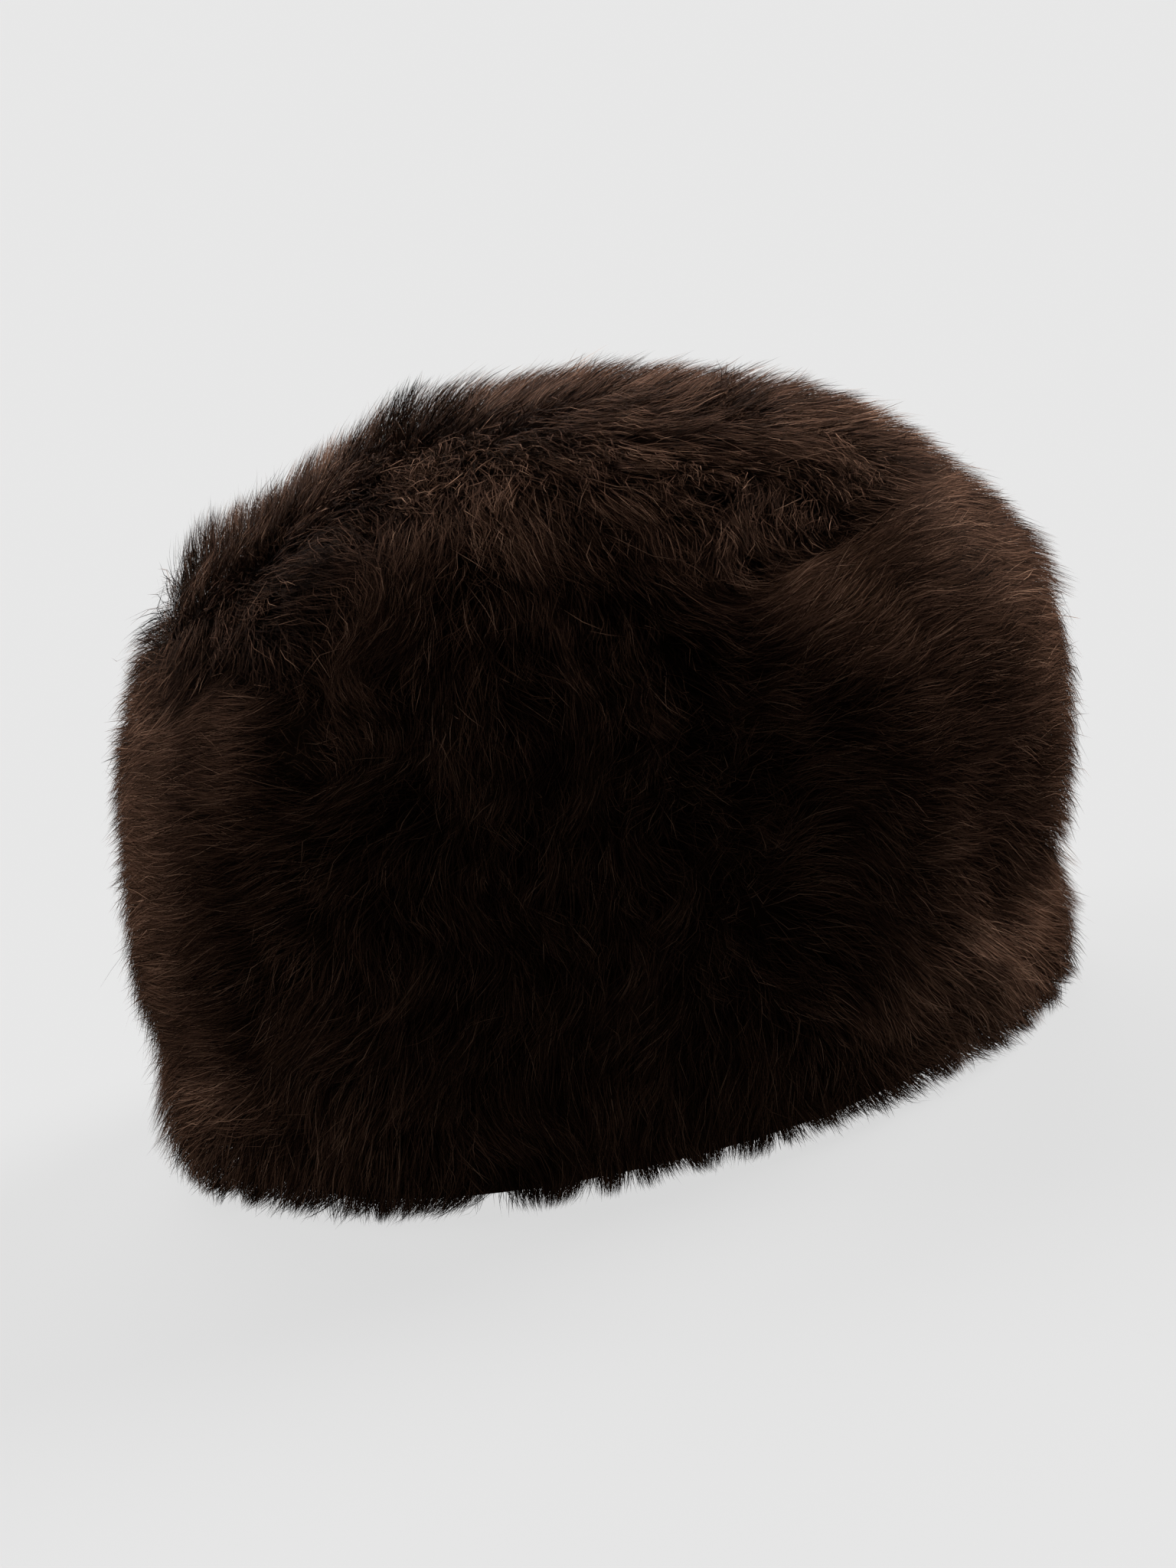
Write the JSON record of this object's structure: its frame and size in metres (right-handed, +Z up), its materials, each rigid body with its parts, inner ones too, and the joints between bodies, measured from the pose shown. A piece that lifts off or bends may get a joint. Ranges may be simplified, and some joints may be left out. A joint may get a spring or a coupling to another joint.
{
  "type": "round fur hat",
  "caption": "Tall round hat of dark brown pile fur with a domed crown panel, a full side wall and a lower edge roll, open below for the head.",
  "frame": {"origin": "on the surface the hat rests on, below the middle of its box", "axes": "+X to the front of the hat, +Y to the wearer's left, +Z up"},
  "size_m": [0.2676, 0.231, 0.1904],
  "materials": {
    "crown_fur": "dense soft pile fur, dark espresso brown, lighter brown tips, matt with a faint sheen",
    "side_fur": "dense soft pile fur in short locks, almost black brown with brown tips, matt with a faint sheen",
    "edge_fur": "dense soft pile fur in hanging tufts, almost black brown, matt with a faint sheen"
  },
  "bodies": {
    "root": {"crown_top": "crown_fur", "side_band": "side_fur", "edge_band": "edge_fur"}
  },
  "joints": []
}
